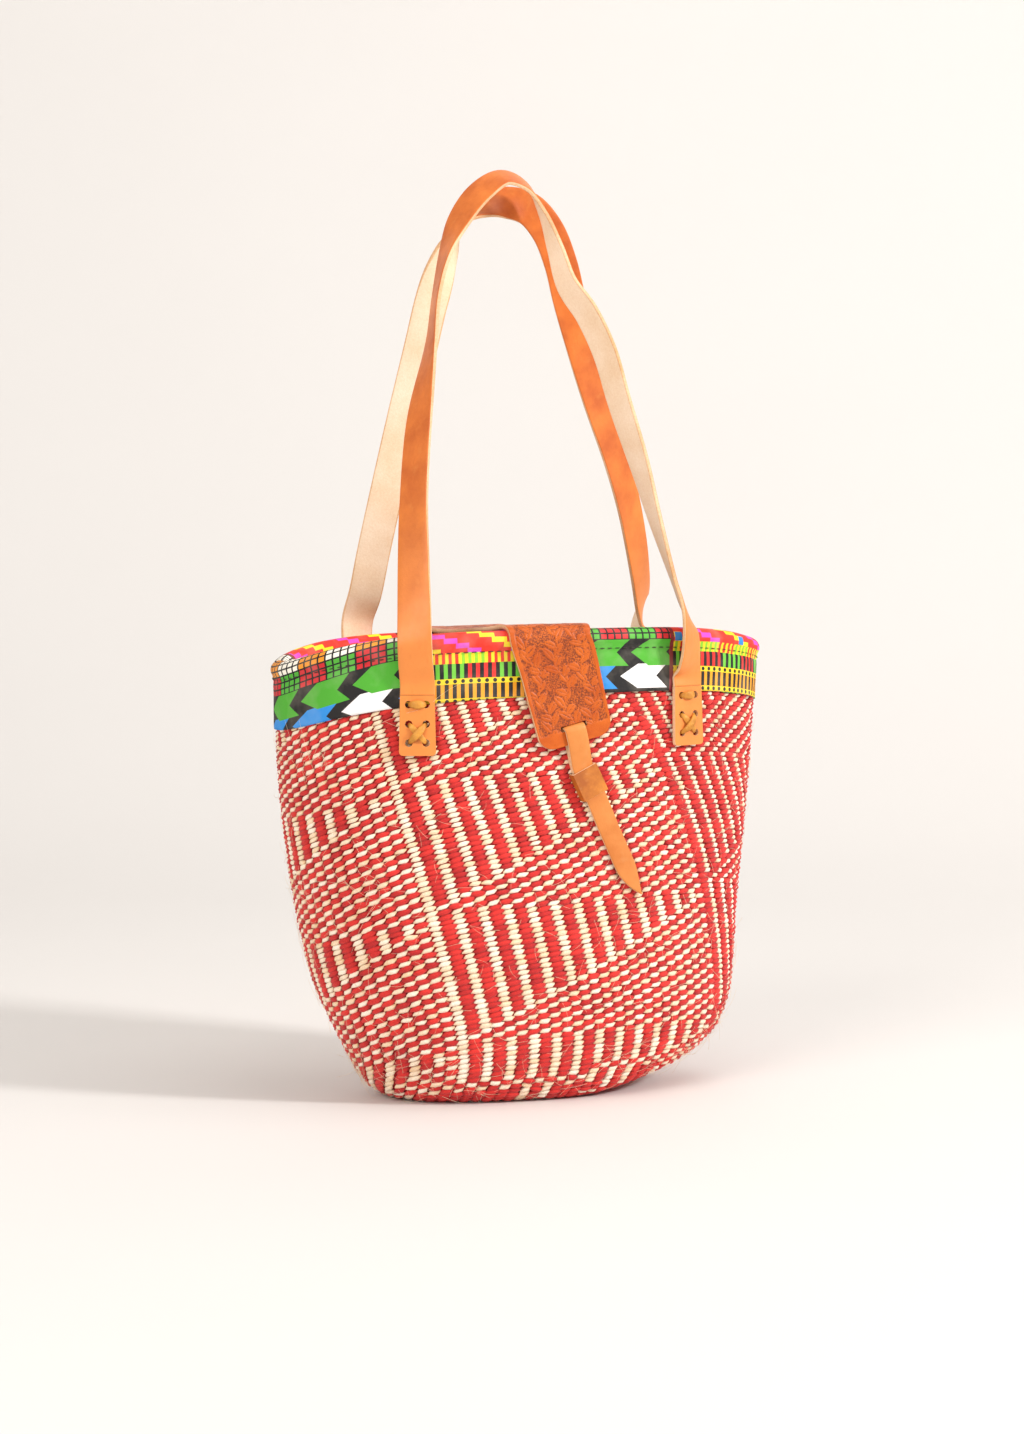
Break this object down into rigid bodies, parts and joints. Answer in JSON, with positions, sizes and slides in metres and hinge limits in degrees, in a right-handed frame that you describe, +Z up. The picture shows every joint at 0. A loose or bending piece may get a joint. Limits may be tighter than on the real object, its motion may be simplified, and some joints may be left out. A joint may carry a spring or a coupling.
{
  "type": "woven bag",
  "caption": "Woven basket bag with a fat printed-cloth rim, long laced leather handles, and a leather flap held shut by a strip in a keeper.",
  "frame": {"origin": "on the ground, under the middle of the whole bag's bounding box", "axes": "+X to the right along the mouth's long side, seen from the front; -Y is the front, where the flap closes; +Z up"},
  "size_m": [0.3498, 0.1848, 0.6321],
  "materials": {
    "weave": "twined sisal, red and cream",
    "lining": "thin dark red cotton",
    "cord": "plain fibre rope",
    "print": "printed cotton, many colours",
    "strap": "tan bridle leather, light gloss",
    "flap": "tooled leather with dark lines",
    "strip": "smooth light tan leather",
    "keeper": "mottled tan leather",
    "thong": "soft yellow tan thong"
  },
  "bodies": {
    "bag": {"woven_body": "weave", "lining": "lining", "rim_cord": "cord", "rim_band": "print", "handle_front_end_left": "strap", "handle_front_end_right": "strap", "handle_back_end_left": "strap", "handle_back_end_right": "strap", "lace_front_left_bar": "thong", "lace_front_left_cross": "thong", "lace_front_right_bar": "thong", "lace_front_right_cross": "thong", "lace_back_left_bar": "thong", "lace_back_left_cross": "thong", "lace_back_right_bar": "thong", "lace_back_right_cross": "thong", "flap_back_tab": "flap", "flap_lace_right": "thong", "flap_lace_left": "thong", "keeper": "keeper"},
    "handle_front": {"handle_front_strap": "strap"},
    "handle_back": {"handle_back_strap": "strap"},
    "flap": {"flap": "flap", "closing_strip": "strip"}
  },
  "joints": [
    {"name": "handle_front_swing", "type": "hinge", "parent": "bag", "child": "handle_front", "pos_m": [0, -0.07758, 0.28273], "axis": [1, 0, 0], "range_deg": [0, 145]},
    {"name": "handle_back_swing", "type": "hinge", "parent": "bag", "child": "handle_back", "pos_m": [0, 0.07958, 0.2748], "axis": [-1, 0, 0], "range_deg": [0, 145]},
    {"name": "flap_lift", "type": "hinge", "parent": "bag", "child": "flap", "pos_m": [0, 0.08646, 0.29835], "axis": [-1, 0, 0], "range_deg": [0, 125], "deforming": ["closing_strip"]}
  ]
}
